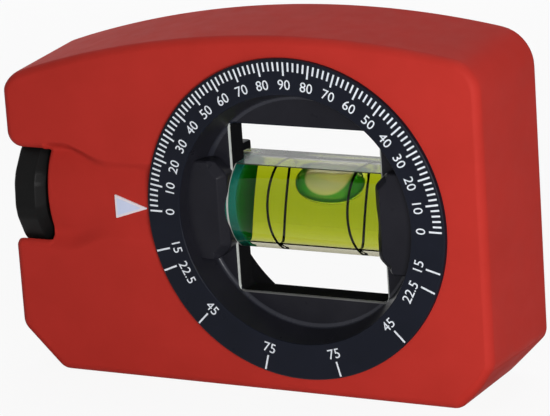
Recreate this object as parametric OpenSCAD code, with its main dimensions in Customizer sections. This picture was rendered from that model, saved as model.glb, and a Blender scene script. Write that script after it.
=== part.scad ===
// Pocket magnetic level: a turning dial carries a bubble vial, and a thumb wheel locks the dial.
// X runs along the base, the front faces -Y and Z is up. The origin is the middle of the base.

/* [Body] */
// Length along the base
body_len = 84; // [80:0.5:96]
// Height from the base to the top of the arch
body_h = 58; // [57:0.5:66]
// Thickness from the front face to the rear face
body_t = 20; // [19.5:0.5:24]
// Radius of the arched top
arch_r = 160; // [130:5:240]
// How far the top of the arch lies right of the dial's centre
arch_shift = 1; // [-4:0.5:4]
// Slope that cuts off both lower corners
foot_cut = 7; // [4:0.5:8.5]
// Radius of the two upper corners
corner_r = 4.5; // [3:0.5:6]
// Rounding along the front and rear edges
edge_r = 1.5; // [0.8:0.1:2]
// Thickness of the outer walls
wall = 2.4; // [1.8:0.1:3]
// Width of a hollow between two stiffening ribs
cell_w = 6.6; // [5:0.2:7.6]
// Thickness of a stiffening rib
rib_t = 1.6; // [1.2:0.1:2.4]
// Thickness of the solid foot above the base
foot_h = 9; // [8:0.5:11]

/* [Rear cover] */
// Thickness of the rear cover
cover_t = 3.6; // [3.4:0.1:4.4]
// Width of the body's rim around the rear cover
cover_rim = 1.8; // [1.6:0.1:2.6]
// Gap between the rear cover and the rim
cover_gap = 0.1; // [0.05:0.05:0.3]
// Radius of a cover screw's shank
cover_screw_r = 1.1; // [0.9:0.1:1.4]
// Radius of a cover screw's head
cover_head_r = 2.2; // [1.8:0.1:2.6]
// Thickness of a cover screw's head
cover_head_t = 1.4; // [1:0.1:1.8]
// Length of a cover screw below its head
cover_screw_len = 9; // [6:0.5:11]

/* [Dial] */
// Radius of the dial's flange
dial_r = 25.5; // [24.5:0.1:26.2]
// Height of the dial's centre above the base
dial_z = 28.4; // [27.8:0.1:30]
// Distance from the dial's centre to the right end
dial_inset = 32.7; // [31:0.1:36]
// How far the dial stands proud of the body
dial_proud = 0.9; // [0.6:0.1:1.5]
// How far the flange overlaps the body
flange_lip = 0.9; // [0.6:0.1:1.2]
// Radial gap between the dial and its bore
dial_gap = 0.08; // [0.04:0.01:0.1]
// Inner radius of the scale ring
ring_in_r = 19.85; // [19.4:0.05:20.4]
// Depth of the dish below the scale ring
dish_depth = 5.2; // [4.4:0.1:6]
// Radius of the dish at its floor
dish_floor_r = 18.45; // [18:0.05:19]
// Width of the window
window_w = 25.6; // [23:0.2:27]
// Height of the window
window_h = 27; // [25:0.2:28]
// Depth of the window's narrow part behind the dish's floor
window_lip = 4; // [3.4:0.1:4.6]
// How much higher the window is behind its narrow part, above and below
window_step = 1.4; // [0.8:0.1:1.8]
// How much wider the window is behind its narrow part, on each side
window_side = 2.3; // [1.8:0.1:2.4]
// Thickness of the rear half's web
rear_web_t = 2.5; // [2:0.1:3.5]
// Radius of the rear dish at its floor
rear_dish_r = 21.6; // [21.5:0.1:22]
// Radius of the rear dish at the rear face
rear_rim_r = 23.6; // [23:0.1:23.8]
// Half height of a block that holds the vial
block_half = 8; // [7.8:0.1:9]
// How far a block stays below the dial's face
block_sink = 1.9; // [1.2:0.1:2.4]
// Height of the rear halves of the blocks above the split
rear_block_h = 5; // [4:0.1:6]
// Slope on the inner corners of a block
block_cut = 2.2; // [1:0.1:3]
// Radius of a dial screw's shank
dial_screw_r = 0.8; // [0.6:0.05:1]
// Radius of a dial screw's head
dial_head_r = 1.6; // [1.3:0.05:1.8]
// Thickness of a dial screw's head
dial_head_t = 1.2; // [0.8:0.1:1.6]
// Distance of the dial screws from the dial's centre line
dial_screw_x = 5; // [4:0.5:6]
// Half thickness of a friction ring
friction_r = 0.55; // [0.4:0.05:0.7]
// Distance of the friction rings from the middle plane
friction_y = 7; // [6.6:0.2:8]

/* [Vial] */
// Half thickness of the vial
vial_half_t = 8.2; // [8:0.1:8.4]
// Half height of the vial
vial_half_h = 6.7; // [6.2:0.1:7]
// Radius of the vial's rounded front and rear faces
vial_face_r = 7.8; // [7.4:0.1:8]
// Length of the vial
vial_len = 33; // [31:0.5:34]
// Radius of the vial's bore
bore_r = 4.8; // [4:0.1:5]
// Thickness of an end plug
plug_t = 4; // [2:0.5:4.5]
// Distance between the two level lines
line_gap = 13.8; // [12.5:0.1:15]
// Width of a level line
line_w = 0.4; // [0.3:0.05:0.8]
// Thickness of a level line
line_t = 0.15; // [0.1:0.01:0.2]
// Length of the bubble
bubble_len = 12; // [10:0.5:12.5]
// Height of the liquid's surface above the vial's axis
liquid_top = 1.9; // [1.4:0.1:2.2]
// How far the bubble rests right of the middle
bubble_shift = 2.3; // [-2.4:0.1:2.4]

/* [Lock] */
// Radius of the thumb wheel over its corners
wheel_r = 11; // [10.4:0.1:11.6]
// Width of the thumb wheel
wheel_w = 5.2; // [4:0.1:5.6]
// Width of the bevel on the wheel's inner side
wheel_bevel = 1.2; // [0.6:0.1:1.6]
// Depth of the notch from the left end
notch_depth = 7; // [6.4:0.1:8.4]
// Height of the notch above the wheel's axis
notch_up = 8.2; // [7.4:0.1:9]
// Depth of the notch below the wheel's axis
notch_down = 6.6; // [6.4:0.1:8]
// Radius of the upper corner beside the notch
lobe_r = 2.5; // [1:0.1:3]
// Radius of the wheel's journal
journal_r = 4.2; // [3.8:0.1:4.6]
// Wall of the wheel's bearing bush
bush_wall = 1.2; // [0.8:0.1:1.5]
// Length of the bearing bush
bush_len = 4.2; // [3.4:0.1:5]
// Thickness of the thrust washer
washer_t = 0.5; // [0.3:0.05:0.8]
// Thickness of the retaining clip
clip_t = 0.6; // [0.4:0.05:0.8]
// Wall of the threaded insert
insert_wall = 1.1; // [0.7:0.05:1.2]
// Radius of the lock screw
screw_r = 2; // [1.7:0.05:2.2]
// Travel of the lock screw in one turn of the wheel
thread_pitch = 0.7; // [0.5:0.05:1]
// Height of the brake shoe
shoe_h = 9; // [7:0.2:10]
// Width of the brake shoe
shoe_w = 8; // [6:0.2:9]
// Length of the brake shoe behind its pad
shoe_t = 3.4; // [2.8:0.1:4]
// Thickness of the brake pad
pad_t = 1; // [0.6:0.1:1.4]

/* [Thumb relief] */
// Radius of the rounded relief beside the wheel
relief_r = 14; // [13:0.5:20]
// Length of the relief's wide part
relief_straight = 4.6; // [3:0.2:6]
// Length over which the relief narrows
relief_taper = 6.8; // [5:0.2:9]
// Half height of the relief at the wheel
relief_wide = 8.4; // [7.6:0.1:8.8]
// Half height of the relief at the dial
relief_narrow = 5.2; // [4:0.1:6]
// Height of the relief's middle above the wheel's axis
relief_z = 0.9; // [0:0.1:1.2]

/* [Pointer] */
// Length of a pointer
pointer_len = 5.9; // [4:0.1:7]
// Width of a pointer's base
pointer_w = 3.9; // [3:0.1:4.6]
// Gap between a pointer's tip and the dial
pointer_gap = 0.35; // [0.2:0.05:0.8]
// Depth of a pointer in the body
pointer_depth = 0.8; // [0.5:0.1:1.2]
// How far a pointer stands proud
pointer_proud = 0.25; // [0.1:0.05:0.5]

/* [Magnets] */
// Radius of a magnet
magnet_r = 5; // [4:0.1:5.6]
// Thickness of a magnet
magnet_t = 4.5; // [3:0.1:5]
// Thickness of a magnet's steel cup
cup_wall = 1; // [0.7:0.1:1.2]
// How far the magnets stay inside the base
magnet_sink = 0.2; // [0.1:0.05:0.4]
// Distance of the end magnets from the body's ends
magnet_end = 14; // [13.2:0.1:15]
// Distance between the two left magnets
magnet_step = 16; // [14:0.5:18]

/* [Hidden] */

$fn = 96;
// Overlap of a cutting shape past the face that it cuts
over = 1;
// Clearance of a piece that is fixed in its seat
fit = 0.02;
// Clearance of a turning or sliding piece
run = 0.05;
// Clearance on each side of a piece that slides in a guide
slide = 0.15;
// Room around a piece that turns freely in a hollow
room = 0.5;
// How far a screw boss sinks into the wall beside it
boss_sink = 0.8;
// Material left in front of a blind screw hole in the dial
web_skin = 1;
// Material left between a dial screw's head and the window
head_skin = 0.3;
// How deep the clip bites into the journal, and how far it stands out of it
clip_bite = 0.5;
clip_reach = 0.9;
// Length of the journal past its clip
journal_lip = 0.6;
// How far the washer reaches past the bush
washer_reach = 1.5;
// How far the insert and the screw stay inside the wheel's outer face
insert_sink = 0.4;
screw_sink = 1;

// Body
half_t = body_t / 2;
left_x = -body_len / 2;
right_x = body_len / 2;
dial_x = right_x - dial_inset;
arch_x = dial_x + arch_shift;
arch_z = body_h - arch_r;
slope_share = tan(22.5);
cover_y = half_t - cover_t;
notch_x = left_x + notch_depth;
cover_left = notch_x + wall;
hollow_inset = wall + cover_rim;
hollow_left = cover_left + cover_rim;
boss_r = cover_screw_r + wall;
boss_step = boss_r - boss_sink;
left_screw_x = hollow_left + boss_step;
right_screw_x = right_x - hollow_inset - boss_step;
cover_screw_spots = [
    [left_screw_x, dial_z + relief_z + relief_wide + boss_r + rib_t],
    [left_screw_x, dial_z + relief_z - relief_wide - boss_r - rib_t],
    [right_screw_x, body_h - corner_r - hollow_inset - boss_sink],
    [right_screw_x, foot_h + boss_step]];

// Dial
face_y = half_t + dial_proud;
seat_y = half_t + run;
hub_r = dial_r - flange_lip;
dial_bore_r = hub_r + dial_gap;
sleeve_r = dial_bore_r + wall;
floor_y = face_y - dish_depth;
block_y = face_y - block_sink;
dial_screw_z = window_h / 2 + window_step + head_skin + dial_head_r + run;
dial_screw_tip = floor_y - web_skin;
friction_ring_r = hub_r + run - friction_r;

// Vial
chamber_len = vial_len - 2 * plug_t;
line_out_r = bore_r - fit;
liquid_r = line_out_r - line_t - fit;
bubble_r = liquid_r - slide;
bubble_base = liquid_top + slide;

// Lock
wheel_x = notch_x - washer_t - run;
bush_r = journal_r + run + bush_wall;
bush_end = notch_x + bush_len;
clip_x = bush_end + run;
journal_end = clip_x + clip_t + journal_lip;
clip_seat_r = journal_r - clip_bite;
clip_r = journal_r + clip_reach;
chamber_r = clip_r + room;
insert_r = screw_r + run + insert_wall;
brake_gap = thread_pitch + run;
pad_r = hub_r + brake_gap;
shoe_x = dial_x - pad_r - pad_t - shoe_t;
socket_t = shoe_t / 2;
screw_start = wheel_x - wheel_w + screw_sink;
// Number of wide flats on the wheel, and how far the front one is turned up
wheel_flats = 12;
wheel_turn = 4.2;
wheel_slot_r = wheel_r + room;

// Pointer
pointer_tip = dial_x - dial_r - pointer_gap;

// Magnets
cup_r = magnet_r + fit + cup_wall;
cup_top = magnet_sink + magnet_t + fit + cup_wall;
magnet_left_x = left_x + magnet_end;
magnet_middle_x = magnet_left_x + magnet_step;
magnet_right_x = right_x - magnet_end;

// Raises an outline drawn in X and Z into a slab between two Y planes
module slab(y_low, y_high) {
    translate([0, y_high, 0]) rotate([90, 0, 0]) linear_extrude(y_high - y_low) children();
}

// Places children on the dial's axis
module at_dial() {
    translate([dial_x, 0, dial_z]) children();
}

// A cylinder along X from x_low to x_high on the lock's axis
module lock_rod(r, x_low, x_high) {
    translate([x_low, 0, dial_z]) rotate([0, 90, 0]) cylinder(r = r, h = x_high - x_low);
}

// A tube along X on the lock's axis
module lock_tube(r_out, r_in, x_low, x_high) {
    difference() {
        lock_rod(r_out, x_low, x_high);
        lock_rod(r_in, x_low - over, x_high + over);
    }
}

// A rectangle with its corners rounded, centred
module rounded_rect(w, h, r) {
    square([w, h - 2 * r], center = true);
    square([w - 2 * r, h], center = true);
    for (sx = [-1, 1], sy = [-1, 1]) translate([sx * (w / 2 - r), sy * (h / 2 - r)]) circle(r);
}

// What the rounding of one upper corner removes: side is 1 on the right and -1 on the left
module upper_corner(side, inset) {
    end_x = side > 0 ? right_x : left_x;
    cx = end_x - side * corner_r;
    cz = arch_z + sqrt(pow(arch_r - corner_r, 2) - pow(cx - arch_x, 2));
    reach = 2 * corner_r;
    ux = (cx - arch_x) / (arch_r - corner_r);
    uz = (cz - arch_z) / (arch_r - corner_r);
    difference() {
        polygon([[cx, cz], [end_x + side * over, cz], [end_x + side * over, cz + reach],
            [cx + ux * reach, cz + uz * reach]]);
        translate([cx, cz]) circle(corner_r - inset);
    }
}

// The body's outline from the front, drawn in by inset
module body_outline(inset) {
    slope = foot_cut + slope_share * inset;
    difference() {
        intersection() {
            polygon([[left_x + inset, slope], [left_x + slope, inset], [right_x - slope, inset],
                [right_x - inset, slope], [right_x - inset, body_h], [left_x + inset, body_h]]);
            translate([arch_x, arch_z]) circle(arch_r - inset, $fn = 400);
        }
        upper_corner(1, inset);
        upper_corner(-1, inset);
    }
}

// The solid body with its front and rear edges rounded
module body_block() {
    intersection() {
        slab(-half_t, half_t) body_outline(0);
        translate([arch_x, 0, arch_z]) rotate([90, 0, 0]) rotate_extrude($fn = 400)
            intersection() {
                rounded_rect(2 * arch_r, body_t, edge_r);
                translate([0, -body_t]) square([2 * arch_r, 2 * body_t]);
            }
        translate([0, 0, -over]) linear_extrude(body_h + 2 * over) rounded_rect(body_len, body_t, edge_r);
        translate([left_x - over, 0, body_h]) rotate([90, 0, 90])
            linear_extrude(body_len + 2 * over) rounded_rect(body_t, 2 * body_h, edge_r);
    }
}

// The notch at the left end, open to the left, with the lobe above it rounded
module notch_outline() {
    translate([left_x - over, dial_z - notch_down])
        square([notch_depth + over, notch_up + notch_down]);
    difference() {
        translate([left_x - over, dial_z + notch_up - over]) square([lobe_r + over, lobe_r + over]);
        translate([left_x + lobe_r, dial_z + notch_up + lobe_r]) circle(lobe_r);
    }
}

// The shallow relief that leads the thumb to the wheel, on the front or the rear (side is -1 or 1)
module thumb_relief(side) {
    middle = dial_z + relief_z;
    end_x = dial_x - hub_r;
    wide_x = notch_x + relief_straight;
    narrow_x = wide_x + relief_taper;
    difference() {
        translate([0, side * half_t, 0]) slab(-relief_r / 4, relief_r / 4)
            polygon([[notch_x - over, middle - relief_wide], [wide_x, middle - relief_wide],
                [narrow_x, middle - relief_narrow], [end_x, middle - relief_narrow],
                [end_x, middle + relief_narrow], [narrow_x, middle + relief_narrow],
                [wide_x, middle + relief_wide], [notch_x - over, middle + relief_wide]]);
        translate([notch_x - 2 * over, side * (half_t - relief_r), middle]) rotate([0, 90, 0])
            cylinder(r = relief_r, h = end_x - notch_x + 4 * over);
    }
}

// A pointer's outline, grown by grow all round
module pointer_outline(grow) {
    half_w = pointer_w / 2 + grow;
    polygon([[pointer_tip + 2 * grow, dial_z], [pointer_tip - pointer_len - grow, dial_z + half_w],
        [pointer_tip - pointer_len - grow, dial_z - half_w]]);
}

// The rear cover's outline, drawn in by inset from the body's rim
module cover_outline(inset) {
    intersection() {
        body_outline(cover_rim + inset);
        translate([cover_left + inset, 0]) square([body_len, body_h]);
    }
}

// The hollows between the ribs, open to the rear
module rib_hollows() {
    pitch = cell_w + rib_t;
    count = floor((right_x - hollow_left) / pitch) + 1;
    difference() {
        intersection() {
            slab(wall - half_t, cover_y + over) body_outline(hollow_inset);
            for (i = [0 : count - 1]) translate([hollow_left + i * pitch, -body_t, foot_h])
                cube([cell_w, 2 * body_t, body_h]);
        }
        at_dial() slab(-body_t, body_t) circle(sleeve_r);
        translate([left_x, -body_t, dial_z - notch_down - wall])
            cube([dial_x - left_x, 2 * body_t, notch_up + notch_down + 2 * wall]);
        for (p = cover_screw_spots) translate([p[0], 0, p[1]]) slab(-body_t, body_t) circle(boss_r);
    }
}

// The bores for the wheel's bush, the clip and the brake shoe
module lock_bores() {
    lock_rod(wheel_slot_r, left_x - over, notch_x);
    lock_rod(bush_r + fit, notch_x - over, bush_end);
    lock_rod(chamber_r, bush_end, shoe_x - slide);
    translate([shoe_x - brake_gap, -shoe_w / 2 - slide, dial_z - shoe_h / 2 - slide])
        cube([dial_x - shoe_x, shoe_w + 2 * slide, shoe_h + 2 * slide]);
}

// The one-piece housing: front, sides, foot, dial sleeve and lock block
module body_shell() {
    color([0.73, 0.14, 0.13]) difference() {
        body_block();
        at_dial() slab(-body_t, body_t) circle(dial_bore_r);
        slab(-body_t, body_t) notch_outline();
        lock_bores();
        thumb_relief(-1);
        thumb_relief(1);
        slab(cover_y, half_t + over) cover_outline(0);
        rib_hollows();
        slab(-half_t - over, pointer_depth + fit - half_t) pointer_outline(fit);
        for (p = cover_screw_spots) translate([p[0], 0, p[1]])
            slab(half_t - cover_head_t - cover_screw_len - fit, half_t) circle(cover_screw_r + fit);
        for (x = [magnet_left_x, magnet_middle_x, magnet_right_x]) translate([x, 0, -over])
            cylinder(r = cup_r + fit, h = cup_top + over);
    }
}

// The plate that closes the hollows from behind
module rear_cover() {
    color([0.70, 0.13, 0.12]) difference() {
        slab(cover_y, half_t) cover_outline(cover_gap);
        at_dial() slab(0, body_t) circle(dial_bore_r);
        thumb_relief(1);
        slab(half_t - pointer_depth - fit, half_t + over) pointer_outline(fit);
        for (p = cover_screw_spots) translate([p[0], 0, p[1]]) {
            slab(0, body_t) circle(cover_screw_r + run);
            slab(half_t - cover_head_t, body_t) circle(cover_head_r + slide);
        }
    }
}

// Pan-head screws that hold the rear cover
module cover_screws() {
    color([0.30, 0.30, 0.31]) for (p = cover_screw_spots) translate([p[0], 0, p[1]]) difference() {
        union() {
            slab(half_t - cover_head_t, half_t) circle(cover_head_r);
            slab(half_t - cover_head_t - cover_screw_len, half_t - cover_head_t) circle(cover_screw_r);
        }
        slab(half_t - cover_head_t / 2, half_t + over) for (a = [0, 90]) rotate(a)
            square([1.4 * cover_head_r, cover_head_r / 4], center = true);
    }
}

// White insert that the dial is read against, on the front
module front_pointer() {
    color([0.90, 0.92, 0.95]) slab(-half_t - pointer_proud, pointer_depth - half_t) pointer_outline(0);
}

// The same insert on the rear
module rear_pointer() {
    color([0.90, 0.92, 0.95]) slab(half_t - pointer_depth, half_t + pointer_proud) pointer_outline(0);
}

// Outline of the two blocks that hold the vial's ends
module block_outline() {
    inner = window_w / 2;
    intersection() {
        for (s = [0, 180]) rotate(s)
            polygon([[inner, block_cut - block_half], [inner, block_half - block_cut],
                [inner + block_cut, block_half], [dial_r, block_half],
                [dial_r, -block_half], [inner + block_cut, -block_half]]);
        circle((ring_in_r + hub_r) / 2);
    }
}

// Outline of the window behind its narrow part
module rear_window() {
    square([window_w + 2 * window_side, window_h + 2 * window_step], center = true);
}

// A bar with the vial's cross-section, flat above and below and rounded in front and behind, grown by grow
module vial_bar(grow) {
    shift = vial_half_t - vial_face_r;
    rotate([90, 0, 90]) linear_extrude(vial_len + 2 * grow, center = true) intersection() {
        square([4 * vial_half_t, 2 * (vial_half_h + grow)], center = true);
        for (s = [-1, 1]) translate([s * shift, 0]) circle(vial_face_r + grow);
    }
}

// The seat for the vial, and the groove for a friction ring at y
module dial_cuts(y) {
    vial_bar(fit);
    slab(y - friction_r - run, y + friction_r + run) difference() {
        circle(dial_r);
        circle(hub_r - 2 * friction_r);
    }
}

// Where the four dial screws sit
module at_dial_screws() {
    for (sx = [-1, 1], sz = [-1, 1]) translate([sx * dial_screw_x, 0, sz * dial_screw_z]) children();
}

// Front half of the dial: scale ring, dish, window and vial blocks
module dial_front() {
    color([0.05, 0.05, 0.06]) at_dial() difference() {
        union() {
            difference() {
                union() {
                    slab(-face_y, -seat_y) circle(dial_r);
                    slab(-seat_y, 0) circle(hub_r);
                }
                translate([0, -face_y, 0]) rotate([-90, 0, 0])
                    cylinder(r1 = ring_in_r, r2 = dish_floor_r, h = dish_depth);
            }
            slab(-block_y, -rear_web_t) block_outline();
        }
        slab(-face_y, over) square([window_w, window_h], center = true);
        slab(window_lip - floor_y, over) rear_window();
        dial_cuts(-friction_y);
        at_dial_screws() slab(-dial_screw_tip - fit, over) circle(dial_screw_r + fit);
    }
}

// Rear half of the dial: rear rim, dish, larger window and the low rear halves of the vial blocks
module dial_rear() {
    color([0.05, 0.05, 0.06]) at_dial() difference() {
        union() {
            difference() {
                union() {
                    slab(seat_y, face_y) circle(dial_r);
                    slab(0, seat_y) circle(hub_r);
                }
                translate([0, rear_web_t, 0]) rotate([-90, 0, 0])
                    cylinder(r1 = rear_dish_r, r2 = rear_rim_r, h = face_y - rear_web_t);
            }
            slab(0, rear_block_h) block_outline();
        }
        slab(-over, face_y) rear_window();
        dial_cuts(friction_y);
        at_dial_screws() {
            slab(-over, body_t) circle(dial_screw_r + run);
            slab(rear_web_t - dial_head_t / 2, body_t) circle(dial_head_r + run);
        }
    }
}

// Pan-head screws that clamp the two halves of the dial
module dial_screws() {
    head_y = rear_web_t - dial_head_t / 2;
    color([0.55, 0.55, 0.56]) at_dial() at_dial_screws() difference() {
        union() {
            slab(head_y, head_y + dial_head_t) circle(dial_head_r);
            slab(-dial_screw_tip, head_y) circle(dial_screw_r);
        }
        slab(head_y + dial_head_t / 2, head_y + dial_head_t + over) for (a = [0, 90]) rotate(a)
            square([1.4 * dial_head_r, dial_head_r / 4], center = true);
    }
}

// Rubber ring in the dial's groove that rubs in the bore, at y
module friction_ring(y) {
    at_dial() translate([0, y, 0]) rotate([90, 0, 0])
        rotate_extrude() translate([friction_ring_r, 0]) circle(friction_r, $fn = 32);
}

module front_friction_ring() {
    color([0.08, 0.08, 0.08]) friction_ring(-friction_y);
}

module rear_friction_ring() {
    color([0.08, 0.08, 0.08]) friction_ring(friction_y);
}

// Clear block of the vial, bored from end to end
module vial_body() {
    color([0.85, 0.95, 0.80, 0.4]) at_dial() difference() {
        vial_bar(0);
        rotate([0, 90, 0]) cylinder(r = bore_r, h = vial_len + 2 * over, center = true);
    }
}

// Plug that seals one end of the vial: side is -1 on the left and 1 on the right
module vial_plug(side) {
    at_dial() translate([side * (vial_len - plug_t) / 2, 0, 0]) rotate([0, 90, 0])
        cylinder(r = bore_r - fit, h = plug_t, center = true);
}

module vial_plug_left() {
    color([0.80, 0.90, 0.75, 0.6]) vial_plug(-1);
}

module vial_plug_right() {
    color([0.80, 0.90, 0.75, 0.6]) vial_plug(1);
}

// Liquid in the vial, with the bubble's way left free above it
module vial_liquid() {
    color([0.62, 0.80, 0.10, 0.8]) at_dial() difference() {
        rotate([0, 90, 0]) cylinder(r = liquid_r, h = chamber_len - 2 * fit, center = true);
        translate([-vial_len, -bore_r, liquid_top]) cube([2 * vial_len, 2 * bore_r, bore_r]);
    }
}

// Air bubble above the liquid
module vial_bubble() {
    end_r = bubble_r - bubble_base / 3;
    color([0.75, 0.80, 0.62, 0.5]) at_dial() translate([bubble_shift, 0, 0]) intersection() {
        rotate([0, 90, 0]) cylinder(r = bubble_r, h = bubble_len, center = true);
        translate([0, 0, bubble_base]) linear_extrude(bore_r) {
            square([bubble_len - 2 * end_r, 2 * bore_r], center = true);
            for (s = [-1, 1]) translate([s * (bubble_len / 2 - end_r), 0]) circle(end_r);
        }
    }
}

// The two rings that the bubble is read between
module level_lines() {
    color([0.03, 0.05, 0.02]) at_dial() for (s = [-1, 1]) translate([s * line_gap / 2, 0, 0])
        rotate([0, 90, 0]) difference() {
            cylinder(r = line_out_r, h = line_w, center = true);
            cylinder(r = line_out_r - line_t, h = line_w + 2 * over, center = true);
        }
}

// Thumb wheel: wide flats with narrow flats between them, and a journal on its inner side
module lock_wheel() {
    color([0.06, 0.06, 0.07]) difference() {
        union() {
            intersection() {
                wheel_blank();
                union() {
                    lock_rod(wheel_r + over, wheel_x - wheel_w, wheel_x - wheel_bevel);
                    translate([wheel_x - wheel_bevel, 0, dial_z]) rotate([0, 90, 0])
                        cylinder(r1 = wheel_r, r2 = wheel_r - wheel_bevel, h = wheel_bevel);
                }
            }
            lock_rod(journal_r, wheel_x - over, journal_end);
        }
        lock_rod(insert_r + fit, wheel_x - wheel_w - over, journal_end + over);
        lock_tube(journal_r + over, clip_seat_r, clip_x - fit, clip_x + clip_t + fit);
    }
}

// The wheel's blank: its wide flats span twice the angle of the narrow flats between them
module wheel_blank() {
    half_step = 180 / wheel_flats;
    wide_flat = wheel_r * cos(half_step * 2 / 3);
    narrow_flat = wheel_r * cos(half_step / 3);
    intersection() {
        flat_blank(wide_flat / cos(half_step), wheel_turn + half_step);
        flat_blank(narrow_flat / cos(half_step), wheel_turn);
    }
}

// A prism with wheel_flats sides along the lock's axis
module flat_blank(r, turn) {
    translate([wheel_x - wheel_w, 0, dial_z]) rotate([turn, 0, 0]) rotate([0, 90, 0])
        cylinder(r = r, h = wheel_w, $fn = wheel_flats);
}

// Threaded brass insert fixed in the wheel
module wheel_insert() {
    color([0.72, 0.58, 0.28]) lock_tube(insert_r, screw_r + run, wheel_x - wheel_w + insert_sink,
        journal_end);
}

// Bearing bush of the wheel, fixed in the body
module wheel_bush() {
    color([0.68, 0.52, 0.26]) lock_tube(bush_r, journal_r + run, notch_x, bush_end);
}

// Washer between the wheel and the body
module thrust_washer() {
    color([0.85, 0.85, 0.82]) lock_tube(bush_r + washer_reach, journal_r + run,
        notch_x - washer_t, notch_x);
}

// Clip in the journal's groove that keeps the wheel in its bush
module wheel_clip() {
    color([0.45, 0.45, 0.46]) difference() {
        lock_tube(clip_r, clip_seat_r + fit, clip_x, clip_x + clip_t);
        translate([clip_x - over, -clip_seat_r, dial_z - 2 * clip_r])
            cube([clip_t + 2 * over, 2 * clip_seat_r, 2 * clip_r]);
    }
}

// Screw that the turning insert drives along X
module lock_screw() {
    color([0.62, 0.62, 0.63]) lock_rod(screw_r, screw_start, shoe_x + socket_t - fit);
}

// Shoe that carries the pad, kept from turning by its guide
module brake_shoe() {
    color([0.15, 0.15, 0.16]) difference() {
        translate([shoe_x, -shoe_w / 2, dial_z - shoe_h / 2]) cube([shoe_t + 2 * pad_t, shoe_w, shoe_h]);
        at_dial() slab(-body_t, body_t) circle(pad_r + pad_t + fit);
        lock_rod(screw_r + fit, shoe_x - over, shoe_x + socket_t);
    }
}

// Rubber pad that presses on the dial
module brake_pad() {
    color([0.10, 0.10, 0.10]) intersection() {
        translate([shoe_x, -shoe_w / 2, dial_z - shoe_h / 2]) cube([dial_x - shoe_x, shoe_w, shoe_h]);
        at_dial() slab(-body_t, body_t) difference() {
            circle(pad_r + pad_t);
            circle(pad_r);
        }
    }
}

// Disc magnet in the base at x
module magnet(x) {
    color([0.70, 0.71, 0.73]) translate([x, 0, magnet_sink]) cylinder(r = magnet_r, h = magnet_t);
}

// Steel cup around the magnet at x
module magnet_cup(x) {
    color([0.58, 0.59, 0.61]) translate([x, 0, magnet_sink]) difference() {
        cylinder(r = cup_r, h = cup_top - magnet_sink);
        translate([0, 0, -over]) cylinder(r = magnet_r + fit, h = magnet_t + fit + over);
    }
}

body_shell();
rear_cover();
cover_screws();
front_pointer();
rear_pointer();
dial_front();
dial_rear();
dial_screws();
front_friction_ring();
rear_friction_ring();
vial_body();
vial_plug_left();
vial_plug_right();
vial_liquid();
vial_bubble();
level_lines();
lock_wheel();
wheel_insert();
wheel_bush();
thrust_washer();
wheel_clip();
lock_screw();
brake_shoe();
brake_pad();
magnet(magnet_left_x);  // magnet_left
magnet(magnet_middle_x);  // magnet_middle
magnet(magnet_right_x);  // magnet_right
magnet_cup(magnet_left_x);  // magnet_cup_left
magnet_cup(magnet_middle_x);  // magnet_cup_middle
magnet_cup(magnet_right_x);  // magnet_cup_right
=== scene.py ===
import math

import bmesh
import bpy
from mathutils import Matrix, Vector
from mathutils.geometry import delaunay_2d_cdt


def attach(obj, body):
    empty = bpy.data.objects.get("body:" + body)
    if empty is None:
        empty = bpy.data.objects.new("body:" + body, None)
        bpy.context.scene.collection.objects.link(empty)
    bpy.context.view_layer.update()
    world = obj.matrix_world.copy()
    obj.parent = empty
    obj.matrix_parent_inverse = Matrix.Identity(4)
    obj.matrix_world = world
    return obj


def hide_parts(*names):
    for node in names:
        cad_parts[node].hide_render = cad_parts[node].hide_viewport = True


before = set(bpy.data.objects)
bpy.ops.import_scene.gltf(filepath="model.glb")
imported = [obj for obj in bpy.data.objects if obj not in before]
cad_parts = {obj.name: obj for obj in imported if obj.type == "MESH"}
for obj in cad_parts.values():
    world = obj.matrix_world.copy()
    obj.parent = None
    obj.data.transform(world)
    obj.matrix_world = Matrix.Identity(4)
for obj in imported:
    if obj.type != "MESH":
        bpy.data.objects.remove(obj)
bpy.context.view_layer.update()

# Units and margins
MM = 0.001      # a millimetre in metres
FAR = 1e6       # a reach without end
PAST = 1.0      # how far a cutting shape passes what it cuts
OVERLAP = 0.1   # how far two cuts that meet run into each other
NEAR = 0.1      # how near to an edge a face counts as on it
TINY = 0.01     # a step too small to be seen
HAIR = 0.002    # less than the height of the smallest face
WELD = 1e-4     # points nearer than this become one

# Body
BODY_LEN = 84.0
BODY_H = 58.0
HALF_T = 10.0
LEFT_X = -BODY_LEN / 2
RIGHT_X = BODY_LEN / 2
ARCH_R = 160.0
ARCH_X = 10.3
ARCH_Z = BODY_H - ARCH_R
ARCH_STEPS = 48
ARCH_END = 6.0
FOOT_CUT = 7.0
FOOT_ANGLE = 45.0
FOOT_R = 2.6
CORNER_R = 4.5
RIGHT_CORNER_R = 6.2
EDGE_R = 1.5
FRONT_DRAFT = 1.1
DRAFT_REACH = 4.5
BORE_STEPS = 160

# Notch and thumb relief at the left end
NOTCH_X = -35.0
NOTCH_TOP = 36.6
NOTCH_FLOOR = 21.8
LOBE_R = 2.6
LIP_R = 1.7
CEILING_EDGE_R = 1.7
CEILING_INNER_EDGE_R = 0.9
CEILING_FADE = 2.5
FLOOR_EDGE_R = 1.1
NOTCH_EDGE_R = 0.35
NOTCH_INNER_R = 0.8
SLOT_R = 11.5
SLOT_X = NOTCH_X + 2 * TINY
RELIEF_Z = 29.3
RELIEF_R = 14.0
RELIEF_WIDE = 7.9
RELIEF_DROP = 0.6
RELIEF_RISE = 2.2
RELIEF_NARROW = 5.4
RELIEF_LIFT = 0.9
RELIEF_WIDE_X = -32.0
RELIEF_NARROW_X = -23.4
RELIEF_SOFT = 1.1
RELIEF_SOFT_LOW = 2.0
RELIEF_PAST_BORE = 3.0
RELIEF_BORE_GAP = 0.2
RELIEF_STEP = 0.4
RELIEF_ROWS = 24
RELIEF_UPPER_ROWS = 6
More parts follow.
